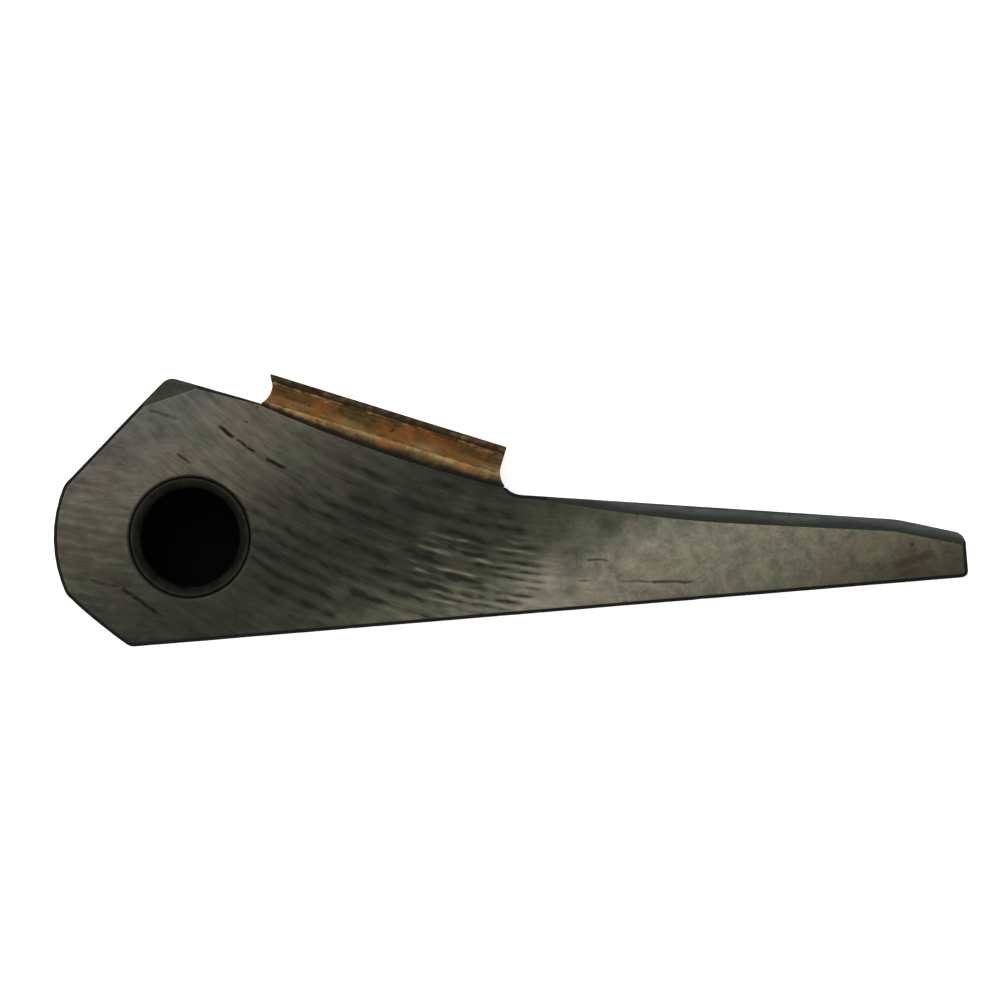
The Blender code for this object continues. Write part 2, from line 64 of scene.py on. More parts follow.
noiseLow, noiseHigh = 0.3, 0.7            # nearly all of a noise texture lies between these
level, nearlyLevel, upright = 0.99, 0.9, 0.05   # how far a normal points along an axis, from 0 to 1
print("frame loaded:", ", ".join(sorted(frame["nodes"])))


# camera, floor and light
studio = {
    "aim": (-1.36 * mm, -3.63 * mm),      # point of the upper side in the middle of the view
    "viewWidth": 220 * mm,                # how much of the upper side the view takes in
    "distance": 1.6,
    "turn": -4.78,                        # degrees, the lever lies a little askew
    "sensor": 36,
    "clip": (0.05, 200),
    "floorSize": 80,
    "floorTone": (0.9, 0.9, 0.895, 1),
    "floorRough": 0.75,
    "floorGlow": 0.7,                     # a light table, so that shadows stay faint
    "floorShine": 0.5,
    "skyTone": (1.0, 1.0, 1.0, 1),
    "skyStrength": 1.0,
    "keyPlace": (-0.7, 1.0, 1.8),         # soft box up and to the left
    "keySize": 1.5,
    "keyPower": 24,
    "shadeCardRadius": 18 * mm,                # dark card under the bore, painted shade that makes the bore read as a deep dark hole
    "shadeCardSides": 64,
    "shadeCardDrop": 0.05 * mm,                # how far it lies under the bush, and the floor twice as far
    "cardTone": (0.004, 0.004, 0.005, 1),
    "cardGlow": 0.0,
    "cardShine": 0.0,
}


def placeCamera(look):
    lens = bpy.data.cameras.new("camera")
    lens.type = "PERSP"
    lens.sensor_width = look["sensor"]
    lens.lens = look["sensor"] * look["distance"] / look["viewWidth"]
    lens.clip_start, lens.clip_end = look["clip"]
    camera = bpy.data.objects.new("camera", lens)
    camera.location = (*look["aim"], cadBox[1].z + look["distance"])
    camera.rotation_euler = (0, 0, math.radians(look["turn"]))
    scene.collection.objects.link(camera)
    scene.camera = camera


def placeKey(look):
    box = bpy.data.lights.new("key", "AREA")
    box.shape = "SQUARE"
    box.size = look["keySize"]
    box.energy = look["keyPower"]
    key = bpy.data.objects.new("key", box)
    key.location = look["keyPlace"]
    key.rotation_euler = (-key.location).to_track_quat("-Z", "Y").to_euler()
    key.visible_camera = False
    scene.collection.objects.link(key)


def paintSky(look):
    sky = bpy.data.worlds.new("sky")
    sky.use_nodes = True
    background = sky.node_tree.nodes["Background"]
    background.inputs["Color"].default_value = look["skyTone"]
    background.inputs["Strength"].default_value = look["skyStrength"]
    scene.world = sky


def addNode(tree, kind, inputs=(), **settings):
    made = tree.nodes.new("ShaderNode" + kind)
    for name, value in settings.items():
        setattr(made, name, value)
    for socket, value in dict(inputs).items():
        if isinstance(value, bpy.types.NodeSocket):
            tree.links.new(value, made.inputs[socket])
        else:
            made.inputs[socket].default_value = value
    return made


def newMaterial(name):
    material = bpy.data.materials.new(name)
    material.use_nodes = True
    tree = material.node_tree
    return material, tree, tree.nodes["Principled BSDF"]


def objectPlace(tree):
    return addNode(tree, "TexCoord").outputs["Object"]


def calc(tree, operation, first, second=0.0, third=0.0):
    made = addNode(tree, "Math", {0: first, 1: second, 2: third}, operation=operation)
    return made.outputs[0]


def mixColor(tree, factor, first, second, mode="MIX"):
    made = addNode(tree, "Mix", {0: factor, 6: first, 7: second}, data_type="RGBA", blend_type=mode)
    return made.outputs[2]


def mixValue(tree, factor, first, second):
    made = addNode(tree, "Mix", {0: factor, 2: first, 3: second}, data_type="FLOAT")
    return made.outputs[0]


def spread(tree, value, low, high, toLow=0.0, toHigh=1.0):
    made = addNode(tree, "MapRange", {"Value": value, "From Min": low, "From Max": high,
                                      "To Min": toLow, "To Max": toHigh})
    return made.outputs["Result"]


def lighten(tree, texture, strength):
    # a noise as a brightness either side of 1
    return spread(tree, texture, noiseLow, noiseHigh, 1 - strength, 1 + strength)


def shifted(tree, value, texture, reach):
    # a value moved to and fro by a noise
    return calc(tree, "MULTIPLY_ADD", calc(tree, "SUBTRACT", texture, 0.5), reach, value)


def colorRamp(tree, factor, stops):
    made = addNode(tree, "ValToRGB", {"Fac": factor})
    band = made.color_ramp
    while len(band.elements) < len(stops):
        band.elements.new(0.5)
    for element, (place, color) in zip(band.elements, stops):
        element.position = place
        element.color = color
    return made.outputs["Color"]


def noiseNode(tree, vector, scale, detail=4.0, rough=0.55, distortion=0.0):
    made = addNode(tree, "TexNoise", {"Vector": vector, "Scale": scale, "Detail": detail,
                                      "Roughness": rough, "Distortion": distortion})
    return made.outputs["Fac"]


def tilted(tree, vector, degrees, stretch=(1, 1, 1)):
    # turned first and stretched after, so that the stretch runs along the turned axes
    turned = addNode(tree, "Mapping", {"Vector": vector, "Rotation": (0, 0, math.radians(degrees))})
    if stretch == (1, 1, 1):
        return turned.outputs["Vector"]
    stretched = addNode(tree, "Mapping", {"Vector": turned.outputs["Vector"], "Scale": stretch})
    return stretched.outputs["Vector"]


def axisPart(tree, vector, axis):
    return addNode(tree, "SeparateXYZ", {"Vector": vector}).outputs[axis]


def painted(tree, name):
    return addNode(tree, "Attribute", attribute_type="GEOMETRY", attribute_name=name).outputs["Fac"]


def arcPlace(tree, place, centre, squeeze):
    # how far along, squeezed, and how far out a point is on circles about a centre in mm
    middle = (centre[0] * mm, centre[1] * mm, 0)
    away = addNode(tree, "VectorMath", {0: place, 1: middle}, operation="SUBTRACT").outputs["Vector"]
    parts = addNode(tree, "SeparateXYZ", {"Vector": away}).outputs
    flat = addNode(tree, "CombineXYZ", {"X": parts["X"], "Y": parts["Y"]}).outputs["Vector"]
    out = addNode(tree, "VectorMath", {0: flat}, operation="LENGTH").outputs["Value"]
    turn = calc(tree, "ARCTAN2", parts["X"], calc(tree, "MULTIPLY", parts["Y"], -1.0))
    along = calc(tree, "MULTIPLY", calc(tree, "MULTIPLY", turn, out), squeeze)
    return addNode(tree, "CombineXYZ", {"X": along, "Y": out, "Z": parts["Z"]}).outputs["Vector"]


def tone(red, green, blue):
    # a screen colour, 0 to 255, as the linear colour that nodes use
    def linear(part):
        part /= 255
        return part / 12.92 if part <= 0.04045 else ((part + 0.055) / 1.055) ** 2.4
    return (linear(red), linear(green), linear(blue), 1)


def rampTones(look):
    # the ramp's places as shares of its length, with its tones, and its two ends
    low, high = look["ramp"][0][0] * mm, look["ramp"][-1][0] * mm
    stops = [((at * mm - low) / (high - low), tone(*[part * look["gain"] for part in color]))
             for at, color in look["ramp"]]
    return stops, low, high


def connectFinish(tree, shader, look, color, rough, bump):
    tree.links.new(color, shader.inputs["Base Color"])
    tree.links.new(rough, shader.inputs["Roughness"])
    shader.inputs["Metallic"].default_value = look["metallic"]
    shader.inputs["Specular IOR Level"].default_value = look["specular"]
    relief = addNode(tree, "Bump", {"Height": bump, "Strength": look["bump"],
                                    "Distance": look["bumpDistance"]})
    tree.links.new(relief.outputs["Normal"], shader.inputs["Normal"])


def mergedCopy(node, gap):
    # the node's own mesh, with short edges welded and flat faces joined again
    shape = bmesh.new()
    shape.from_mesh(frame["nodes"][node].data)
    bmesh.ops.remove_doubles(shape, verts=shape.verts[:], dist=gap)
    bmesh.ops.dissolve_limit(shape, angle_limit=math.radians(0.1), verts=shape.verts[:],
                             edges=shape.edges[:])
    bmesh.ops.recalc_face_normals(shape, faces=shape.faces[:])
    shape.normal_update()
    return shape


def roundEdges(shape, radius, above=24):
    # only edges that turn by more than this many degrees
    sharp = [e for e in shape.edges if e.is_manifold and e.calc_face_angle() > math.radians(above)]
    bmesh.ops.bevel(shape, geom=sharp, offset=radius, offset_type="OFFSET", segments=2, profile=0.5,
                    affect="EDGES", material=-1, clamp_overlap=False, loop_slide=True)
    shape.normal_update()


def sliceUp(shape, faces, axis, low, cell, count):
    # halves the span again and again, so that each cut meets only its own slab
    if count < 2 or not faces:
        return
    half = count // 2
    middle = low + half * cell
    verts = {v for f in faces for v in f.verts}
    edges = {e for f in faces for e in f.edges}
    cut = bmesh.ops.bisect_plane(shape, geom=[*verts, *edges, *faces], dist=1e-8,
                                 plane_co=axis * middle, plane_no=axis)
    found = [g for g in cut["geom"] if isinstance(g, bmesh.types.BMFace)]
    below = [f for f in found if f.calc_center_median().dot(axis) < middle]
    above = [f for f in found if f.calc_center_median().dot(axis) >= middle]
    sliceUp(shape, below, axis, low, cell, half)
    sliceUp(shape, above, axis, middle, cell, count - half)


def cutIntoCells(shape, cells):
    for axis, cell in zip((xAxis, yAxis, zAxis), cells):
        reach = [v.co.dot(axis) for v in shape.verts]
        low, high = min(reach), max(reach)
        count = math.ceil((high - low) / cell)
        sliceUp(shape, shape.faces[:], axis, low, (high - low) / count, count)
    shape.normal_update()


def refine(shape, faces, cuts=1):
    edges = list({e for f in faces for e in f.edges})
    bmesh.ops.subdivide_edges(shape, edges=edges, cuts=cuts, use_grid_fill=True)
    shape.normal_update()


def softStep(value, low, high):
    share = min(1.0, max(0.0, (value - low) / (high - low)))
    return share * share * (3 - 2 * share)


def finishPiece(shape, name, materials, node):
    for edge in shape.edges:
        edge.smooth = not (edge.is_manifold and edge.calc_face_angle() > hardShadeAbove)
    for face in shape.faces:
        face.smooth = True
    data = bpy.data.meshes.new(name)
    shape.to_mesh(data)
    shape.free()
    piece = bpy.data.objects.new(name, data)
    scene.collection.objects.link(piece)
    for material in materials:
        data.materials.append(material)
    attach(piece, "root")
    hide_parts(node)
    print(name, "has", sum(len(f.vertices) - 2 for f in data.polygons), "triangles")


def layFloor(look):
    floor = bmesh.new()
    bmesh.ops.create_grid(floor, x_segments=1, y_segments=1, size=look["floorSize"] / 2)
    bmesh.ops.translate(floor, verts=floor.verts[:], vec=(0, 0, -2 * look["shadeCardDrop"]))
    # the dark card under the bore is painted shade, with no shine
    card = bmesh.new()
    bmesh.ops.create_circle(card, cap_ends=True, segments=look["shadeCardSides"], radius=look["shadeCardRadius"])
    low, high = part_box("pivot_bush")
    middle = (low + high) / 2
    bmesh.ops.translate(card, verts=card.verts[:], vec=(middle.x, middle.y, -look["shadeCardDrop"]))
    for name, shape, kind in (("floor", floor, "floor"), ("bore_shade_card", card, "card")):
        data = bpy.data.meshes.new(name)
        shape.to_mesh(data)
        shape.free()
        sheet = bpy.data.objects.new(name, data)
        material, tree, shader = newMaterial(name)
        shader.inputs["Base Color"].default_value = look[kind + "Tone"]
        shader.inputs["Roughness"].default_value = look["floorRough"]
        shader.inputs["Specular IOR Level"].default_value = look[kind + "Shine"]
        shader.inputs["Emission Color"].default_value = look[kind + "Tone"]
        shader.inputs["Emission Strength"].default_value = look[kind + "Glow"]
        data.materials.append(material)
        scene.collection.objects.link(sheet)


scene.view_settings.view_transform = "Standard"
placeCamera(studio)
placeKey(studio)
paintSky(studio)
layFloor(studio)
print("studio ready")


# lever body: milled faces, scaled bevels, sawn walls
lever = {
    "weld": 0.12 * mm,
    "edgeRadius": 0.16 * mm,
    "stripSlopes": (0.15, 0.97),          # rounded strips lie between a wall and a face
    "cells": (0.8 * mm, 0.8 * mm, 1.5 * mm),
    "bevelDepth": 1.2 * mm,               # a slope deeper than this is a bevel, not a broken edge
    "boreRim": 14.5 * mm,                 # slopes nearer the pivot than this belong to the bore
    "headEnds": -45 * mm,                 # where the corner facets end and the tail's bevels start
    "wave": 0.015 * mm,                   # the faces dip by up to twice this
    "waveSize": 18 * mm,
    "wallWave": 0.028 * mm,               # and the walls by up to twice this
    "wallWaveSize": 5 * mm,
    "nick": 0.5 * mm,
    "nickSize": 2.2 * mm,
    "nickAbove": 0.45,                    # only the highest peaks of the noise leave a nick
    "backShift": (6, -5),                 # mm, so that the back's marks aren't the front's
    "backDepth": 0.04,
    "markShows": 0.04,                    # a mark fainter than this needs no finer mesh
    "strokeMargin": 0.7,
}
milledFace, wallFace, brokenEdge, tailBevel, cornerFacet = range(5)   # the lever's materials, in slot order

# Arcs that the face mill left, in mm: the cutter's centre, the arcs' spacing and length, how deep they
# are and how wide as a share of the spacing, the ridge between two, and a soft oval that they fill.
cutterCentre = (31.9, 117.0)
headCentre = (-18.0, 286.0)
millMarks = [
    {"centre": cutterCentre, "pitch": 3.2, "dash": 9, "depth": 0.02, "width": 0.32, "ridge": 0.06,
     "strength": 1.1, "oval": (-28, -11, 36, 20)},
    {"centre": cutterCentre, "pitch": 1.75, "dash": 7, "depth": 0.05, "width": 0.32, "ridge": 0.65,
     "strength": 1.1, "oval": (-9, -20, 17, 10)},
    {"centre": headCentre, "pitch": 2.1, "dash": 7, "depth": 0.03, "width": 0.34, "ridge": 0.3,
     "strength": 0.3, "oval": (-91, -4, 11, 22)},
]

arcs = {
    "reach": 1.3,                         # ovals out to where the last trace of a mark ends
    "fadeFrom": 0.65,
    "fadeTo": 1.15,
    "fadeShift": 0.3,
    "fadeSize": 7,
    "sway": 0.2,                          # how far an arc wanders, as a share of the spacing
    "swaySize": (4, 2),                   # along and across the arcs
    "dashOff": -0.3,
    "dashOn": 0.1,
    "height": 0.85,
    "ragged": 0.8,
    "raggedSize": (2.2, 0.7),
    "lineStep": 7.3,                      # keeps each arc's dashes apart from the next one's
}

# single strokes, in mm: start, end, half width, depth, then how dark and how rusty from 0 to 1
strokes = [
    ((-61.8, 17.8), (-58.2, 14.5), 0.50, 0.12, 0.9, 0.0),
    ((-58.2, 14.5), (-53.8, 11.0), 0.38, 0.08, 0.75, 0.0),
    ((-52.1, 9.8), (-47.3, 6.8), 0.50, 0.12, 0.9, 0.0),
    ((-86.1, -16.0), (-77.3, -23.2), 0.55, 0.10, 0.8, 0.2),
    ((-92.7, -13.6), (-86.2, -16.0), 0.45, 0.06, 0.4, 0.3),
    ((-71.5, 12.4), (-68.2, 9.8), 0.38, 0.07, 0.6, 0.3),
    ((-76.9, 22.6), (-70.0, 19.8), 0.50, 0.05, 0.4, 0.2),
    ((16.6, -18.3), (21.6, -19.0), 0.34, 0.07, 0.2, 0.8),
    ((14.5, -22.8), (16.9, -23.0), 0.30, 0.05, 0.1, 0.6),
    ((23.5, -23.6), (31.0, -24.4), 0.26, 0.06, 0.2, 0.7),
    ((30.0, -24.3), (40.3, -25.2), 0.42, 0.09, 0.2, 1.0),
    ((83.5, -25.4), (93.5, -23.2), 1.5, 0.03, 0.2, 0.4),
]
strokeShape = {
    "overrun": 0.1,                       # as a share of the length
    "widest": 1,
    "wobble": 0.3,
    "wobbleSize": 2.2,
    "startFade": (-0.02, 0.12),
    "endFade": (0.8, 1.02),
    "ragged": 0.5,
    "raggedSize": 1.2,
}


def millMark(x, y, marks):
    # about 1 in the bottom of an arc, below 0 on the ridge between two, 0 away from them
    centre, oval = marks["centre"], marks["oval"]
    inside = math.hypot((x - oval[0]) / oval[2], (y - oval[1]) / oval[3])
    if inside > arcs["reach"]:
        return 0.0
    dx, dy = x - centre[0], y - centre[1]
    radius = math.hypot(dx, dy)
    along = math.atan2(dx, -dy) * radius
    # the last number of each place only keeps one noise apart from the next
    sizes = arcs["swaySize"]
    sway = noise.noise(Vector((along / sizes[0], radius / sizes[1], 3.1)))
    row = radius / marks["pitch"] + arcs["sway"] * sway
    edge = inside + arcs["fadeShift"] * noise.noise(Vector((x / arcs["fadeSize"], y / arcs["fadeSize"], 0)))
    fade = 1 - softStep(edge, arcs["fadeFrom"], arcs["fadeTo"])
    sizes = arcs["raggedSize"]
    rough = noise.noise(Vector((along / sizes[0], radius / sizes[1], 5.5)))
    ragged = arcs["height"] + arcs["ragged"] * rough
    total = 0.0
    for half, gain in ((0.0, 1.0), (0.5, -marks["ridge"])):
        line = round(row + half)
        aside = (row + half - line) / marks["width"]
        gate = noise.noise(Vector((along / marks["dash"], line * arcs["lineStep"] + half, 1.7)))
        total += gain * math.exp(-aside * aside * 2) * softStep(gate, arcs["dashOff"], arcs["dashOn"])
    return total * ragged * fade * marks["strength"]


def strokeAt(x, y, stroke):
    # about 1 along the middle of a stroke, with ragged sides and soft ends, and 0 away from it
    look = strokeShape
    start, end, half = stroke[:3]
    run = Vector(end) - Vector(start)
    away = Vector((x, y)) - Vector(start)
    share = away.dot(run) / run.length_squared
    aside = away.cross(run) / run.length
    if not -look["overrun"] < share < 1 + look["overrun"] or abs(aside) > look["widest"]:
        return 0.0
    along = share * run.length
    aside += look["wobble"] * noise.noise(Vector((along / look["wobbleSize"], start[0], 0)))
    ends = softStep(share, *look["startFade"]) * (1 - softStep(share, *look["endFade"]))
    ragged = 1.0 + look["ragged"] * noise.noise(Vector((along / look["raggedSize"], start[1], 9)))
    return max(0.0, 1 - (aside / half) ** 2) * ends * ragged


def nearStroke(place):
    for start, end, half, *_ in strokes:
        run = Vector(end) - Vector(start)
        away = Vector((place.x / mm, place.y / mm)) - Vector(start)
        share = min(1.0, max(0.0, away.dot(run) / run.length_squared))
        if (away - run * share).length < half + lever["strokeMargin"]:
            return True
    return False


def fromPivot(place, pivot):
    return math.hypot(place.x - pivot.x, place.y - pivot.y)


def leverSurface(face, look, pivot):
    # the bore's edge takes the corner facets' material
    heights = [v.co.z for v in face.verts]
    slope = abs(face.normal.z)
    middle = face.calc_center_median()
    if slope > level:
        return milledFace
    if slope < upright:
        return wallFace
    if fromPivot(middle, pivot) < look["boreRim"]:
        return cornerFacet
    if max(heights) - min(heights) < look["bevelDepth"]:
        return brokenEdge
    return cornerFacet if middle.x < look["headEnds"] else tailBevel


def markedFace(face):
    middle = face.calc_center_median()
    if face.normal.z < level or middle.z < cadBox[1].z / 2:
        return False
    if nearStroke(middle):
        return True
    return any(abs(millMark(middle.x / mm, middle.y / mm, m)) > lever["markShows"] for m in millMarks)


def dentFace(vert, look, layers):
    # marks and strokes on the upper side, plainer marks on the lower one, and a slow wave on both
    groove, dark, rust = layers
    x, y, z = vert.co / mm
    depth = 0.0
    if z > cadBox[1].z / mm / 2:
        for marks in millMarks:
            mark = millMark(x, y, marks)
            vert[groove] += mark
            depth += mark * marks["depth"]
        for stroke in strokes:
            mark = strokeAt(x, y, stroke)
            depth += mark * stroke[3]
            vert[dark] = max(vert[dark], mark * stroke[4])
            vert[rust] = max(vert[rust], mark * stroke[5])
    else:
        for marks in millMarks:
            vert[groove] += millMark(x + look["backShift"][0], y + look["backShift"][1], marks)
        depth += vert[groove] * look["backDepth"]
    depth += look["wave"] / mm * (1 + noise.noise(vert.co / look["waveSize"]))
    vert.co.z -= math.copysign(max(0.0, depth) * mm, vert.normal.z)


def dentWall(vert, look):
    dent = look["wallWave"] * (1 + noise.noise(vert.co / look["wallWaveSize"]))
    nick = max(0.0, noise.noise(vert.co / look["nickSize"] + Vector((9, 4, 1))) - look["nickAbove"])
    vert.co -= vert.normal * (dent + nick * look["nick"])


def shapeLever(look):
    low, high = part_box("pivot_bush")
    pivot = (low + high) / 2
    shape = mergedCopy("lever_body", look["weld"])
    for face in shape.faces:
        face.material_index = leverSurface(face, look, pivot)
    roundEdges(shape, look["edgeRadius"])
    steepest, flattest = look["stripSlopes"]
    for face in shape.faces:
        # the new rounded strips are broken edges too, apart from the bore's
        strip = face.material_index in (milledFace, wallFace) and steepest < abs(face.normal.z) < flattest
        if strip and fromPivot(face.calc_center_median(), pivot) > look["boreRim"]:
            face.material_index = brokenEdge
    cutIntoCells(shape, look["cells"])
    refine(shape, [f for f in shape.faces if markedFace(f)])
    refine(shape, [f for f in shape.faces if f.normal.z > level and nearStroke(f.calc_center_median())], 2)
    layers = [shape.verts.layers.float.new(name) for name in ("millMark", "stroke", "rust")]
    for vert in shape.verts:
        if abs(vert.normal.z) > nearlyLevel:
            dentFace(vert, look, layers)
        elif fromPivot(vert.co, pivot) > look["boreRim"]:
            dentWall(vert, look)
    return shape


def cutterNoise(tree, place, look, kind):
    # one noise drawn out along the cutter's arcs, another along the head's and a plain one on the tail
    cutter = arcPlace(tree, place, cutterCentre, look["cutterSqueeze"])
    headArcs = arcPlace(tree, place, headCentre, look["headSqueeze"])
    wander = noiseNode(tree, place, *look["noises"]["wander"])
    inward = shifted(tree, axisPart(tree, place, "X"), wander, look["fadeShift"])
    onHead = spread(tree, inward, *look["headFade"])
    onTail = spread(tree, inward, *look["tailFade"], 0.0, look["tailShare"])
    mixed = mixValue(tree, onHead, noiseNode(tree, cutter, *look["noises"]["cutter" + kind]),
                     noiseNode(tree, headArcs, *look["noises"]["head" + kind]))
    return mixValue(tree, onTail, mixed, noiseNode(tree, place, *look["noises"]["tail" + kind]))


def shadeCrease(tree, place, look, color):
    # painted shade along the crease with the milled face and along the outer edge
    wander = noiseNode(tree, place, *look["noises"]["wander"])
    fromMiddle = calc(tree, "ABSOLUTE", calc(tree, "SUBTRACT", axisPart(tree, place, "Z"), cadBox[1].z / 2))
    fromMiddle = shifted(tree, fromMiddle, wander, look["creaseShift"])
    color = mixColor(tree, spread(tree, fromMiddle, *look["crease"]), color, look["creaseShadeTone"])
    lip = calc(tree, "MULTIPLY", spread(tree, fromMiddle, *look["lip"]), look["lipShadeShare"])
    return mixColor(tree, lip, color, look["creaseShadeTone"])


def steelMaterial(name, look):
    material, tree, shader = newMaterial(name)
    place = objectPlace(tree)
    noises = look["noises"]
    patches = noiseNode(tree, place, *noises["patches"])
    mottle = noiseNode(tree, place, *noises["mottle"])
    grain = cutterNoise(tree, place, look, "Grain")
    smear = cutterNoise(tree, place, look, "Smear")
    # painted reflection gradient along the lever, on a slant, over the steel's own tone
    slant = axisPart(tree, tilted(tree, place, look["slant"]), "X")
    slant = shifted(tree, slant, patches, look["patchShift"])
    slant = shifted(tree, slant, mottle, look["mottleShift"])
    stops, low, high = rampTones(look)
    color = colorRamp(tree, spread(tree, slant, low, high), stops)
    cast = spread(tree, noiseNode(tree, place, *noises["cast"]), *look["castRange"])
    color = mixColor(tree, 1.0, color, mixColor(tree, cast, look["coolCast"], look["cast"]), "MULTIPLY")
    # mottle, grain and smears
    light = lighten(tree, mottle, look["mottle"])
    light = calc(tree, "MULTIPLY", light, lighten(tree, grain, look["grain"]))
    smearLight = spread(tree, smear, *look["grainRange"], 1 + look["smear"], 1 - look["smear"])
    light = calc(tree, "MULTIPLY", light, smearLight)
    color = mixColor(tree, 1.0, color, light, "MULTIPLY")
    # mill marks, rust, strokes and pits
    marks = calc(tree, "MULTIPLY", painted(tree, "millMark"),
                 spread(tree, grain, *look["grainRange"], *look["markBreak"]))
    groove = spread(tree, marks, 0.0, 1.0, 0.0, look["grooveShare"])
    color = mixColor(tree, groove, color, look["grooveTone"])
    # the lighter ridges between the arcs are a painted highlight
    ridge = spread(tree, marks, 0.0, -1.0, 0.0, look["ridgeHighlightShare"])
    color = mixColor(tree, ridge, color, look["ridgeHighlightTone"])
    rust = spread(tree, painted(tree, "rust"), 0.0, look["strokeFull"], 0.0, look["rustShare"])
    color = mixColor(tree, rust, color, look["rustTone"])
    dark = spread(tree, painted(tree, "stroke"), 0.0, look["strokeFull"])
    color = mixColor(tree, dark, color, look["strokeTone"])
    pits = spread(tree, noiseNode(tree, place, *noises["pits"]), *look["pitRange"])
    pitted = calc(tree, "MULTIPLY", pits, spread(tree, patches, *look["pitPatches"]))
    color = mixColor(tree, calc(tree, "MULTIPLY", pitted, look["pitShare"]), color, look["strokeTone"])
    if "creaseShadeTone" in look:
        color = shadeCrease(tree, place, look, color)
    rough = spread(tree, mottle, noiseLow, noiseHigh, *look["rough"])
    rough = shifted(tree, rough, grain, look["roughGrain"])
    bump = calc(tree, "MULTIPLY", mottle, look["bumpMottle"])
    bump = calc(tree, "MULTIPLY_ADD", grain, look["bumpGrain"], bump)
    bump = calc(tree, "SUBTRACT", bump, calc(tree, "MULTIPLY", pitted, look["bumpPits"]))
    connectFinish(tree, shader, look, color, rough, bump)
    return material


milledSteel = {
    "slant": 68.3,                        # degrees
    # the ramp's light ends and dark middle are a painted reflection gradient over the steel's own tone
    "ramp": [(-47, (83, 84, 77)), (-36, (90, 86, 75)), (-29, (78, 76, 65)), (-20, (60, 60, 50)),
             (-11, (44, 46, 37)), (-3, (41, 43, 33)), (3, (46, 48, 37)), (12, (61, 63, 50)),
             (18, (82, 83, 69)), (23, (107, 105, 92)), (28, (120, 117, 101)), (36, (112, 110, 93)),
             (45, (97, 95, 78)), (51, (88, 85, 68)), (59, (62, 59, 46))],
    "gain": 0.87,
    "noises": {                           # scale, detail, roughness, distortion
        "patches": (55, 3, 0.5), "mottle": (230, 5, 0.62), "wander": (90, 2, 0.5),
        "cast": (110, 2, 0.5), "pits": (640, 2, 0.5, 0.6),
        "cutterGrain": (1700, 4, 0.65), "headGrain": (1300, 4, 0.6), "tailGrain": (1500, 4, 0.65),
        "cutterSmear": (560, 4, 0.6, 0.3), "headSmear": (420, 3), "tailSmear": (330, 4, 0.6, 0.8),
    },
    "cutterSqueeze": 0.14,                # the smaller, the longer the grain along the arcs
    "headSqueeze": 0.3,
    "headFade": (-70 * mm, -80 * mm),
    "tailFade": (0.0, 24 * mm),
    "tailShare": 0.85,
    "patchShift": 16 * mm,
    "mottleShift": 6 * mm,
    "fadeShift": 30 * mm,
    "cast": (1.06, 0.98, 0.98, 1),
    "coolCast": (0.96, 1.01, 0.96, 1),
    "castRange": (0.4, 0.6),
    "mottle": 0.28,
    "grain": 0.22,
    "smear": 0.26,
    "grainRange": (0.32, 0.68),
    "markBreak": (0.3, 1.6),              # how much the grain weakens or strengthens a mill mark
    "grooveTone": tone(13, 14, 10),
    "grooveShare": 0.85,
    # painted highlight on the ridges between the mill arcs
    "ridgeHighlightTone": tone(125, 124, 108),
    "ridgeHighlightShare": 0.6,
    "rustTone": tone(58, 38, 30),
    "rustShare": 0.8,
    "strokeTone": tone(12, 11, 8),
    "strokeFull": 0.8,
    "pitRange": (0.7, 0.78),
    "pitPatches": (0.46, 0.54),
    "pitShare": 0.7,
    "rough": (0.42, 0.6),
    "roughGrain": 0.25,
    "metallic": 0.85,
    "specular": 0.5,
    "bump": 0.6,
    "bumpGrain": 0.5,
    "bumpMottle": 0.6,
    "bumpPits": 0.8,
    "bumpDistance": 0.12 * mm,
}
walls = dict(milledSteel, ramp=[(-60, (50, 49, 44)), (60, (56, 54, 47))], mottle=0.3, grain=0.2,
             rough=(0.5, 0.7))
# the broken edges are painted near black all round, a painted shade, and reflect almost nothing
edges = dict(milledSteel, ramp=[(-60, (17, 17, 13)), (60, (16, 13, 12))], mottle=0.4, metallic=0.05,
             specular=0.06, rough=(0.6, 0.8))
# the bevels' darkening along the crease and the outer edge is painted shade
bevels = dict(milledSteel, ramp=[(-60, (58, 60, 59)), (10, (64, 67, 67)), (60, (70, 74, 75))],
              cast=(0.98, 0.99, 1.04, 1), creaseShadeTone=tone(26, 29, 22), creaseShift=2.5 * mm,
              crease=(9.7 * mm, 11.1 * mm), lip=(9.4 * mm, 8.9 * mm), lipShadeShare=0.7)
facets = dict(milledSteel, ramp=[(-60, (50, 49, 39)), (60, (50, 49, 39))], mottle=0.3)

leverShape = shapeLever(lever)
leverPaint = [steelMaterial("steelMilled", milledSteel), steelMaterial("steelWall", walls),
              steelMaterial("steelEdgeShaded", edges), steelMaterial("steelBevel", bevels),
              steelMaterial("steelFacet", facets)]
finishPiece(leverShape, "lever_body_worn", leverPaint, "lever_body")


